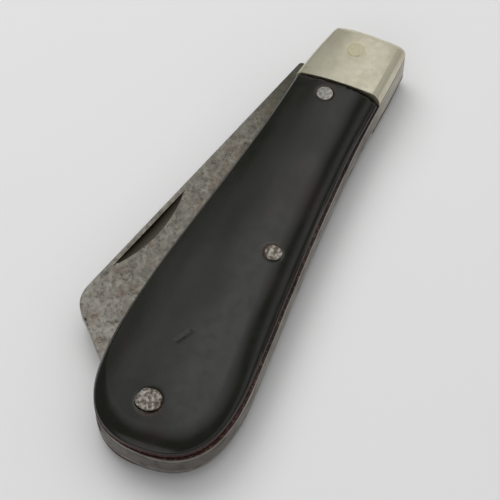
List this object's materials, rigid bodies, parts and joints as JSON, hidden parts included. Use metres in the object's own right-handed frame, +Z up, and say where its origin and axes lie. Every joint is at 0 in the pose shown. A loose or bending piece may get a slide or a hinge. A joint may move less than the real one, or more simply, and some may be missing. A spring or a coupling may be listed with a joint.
{
  "type": "folding pocket knife",
  "caption": "Slip-joint folding pocket knife with a sheepfoot blade, dark horn covers, metal bolsters and a back spring, shown closed.",
  "frame": {"origin": "centre of the underside of the closed knife's box, on the plane that the lower covers and pin ends rest on", "axes": "+X from the butt to the bolster end, +Y from the back to the blade side, +Z up through the thickness, front covers on top"},
  "size_m": [0.0942, 0.0344, 0.0112],
  "materials": {
    "blade_steel": "aged carbon steel, mottled grey patina with fine pits",
    "spring_steel": "aged carbon steel, satin",
    "liner_steel": "aged sheet steel, satin",
    "nickel_silver": "nickel silver, worn satin with fine scratches",
    "horn": "polished dark horn, worn",
    "pivot_metal": "pale brass, ground flush",
    "pin_metal": "peened pins, pitted"
  },
  "bodies": {
    "handle": {"back_spring": "spring_steel", "liner_front": "liner_steel", "liner_back": "liner_steel", "bolster_front": "nickel_silver", "bolster_back": "nickel_silver", "scale_front": "horn", "scale_back": "horn", "pivot_pin": "pivot_metal", "spring_pin": "pin_metal", "butt_pin": "pin_metal", "scale_pin_front": "pin_metal", "scale_pin_back": "pin_metal", "bolster_rivets_front": "pin_metal", "bolster_rivets_back": "pin_metal"},
    "blade": {"blade": "blade_steel"}
  },
  "joints": [
    {"name": "blade_pivot", "type": "hinge", "parent": "handle", "child": "blade", "pos_m": [0.04134, -0.00775, 0.0056], "axis": [0, 0, -1], "range_deg": [0, 165.5], "deforming": ["back_spring"]}
  ]
}
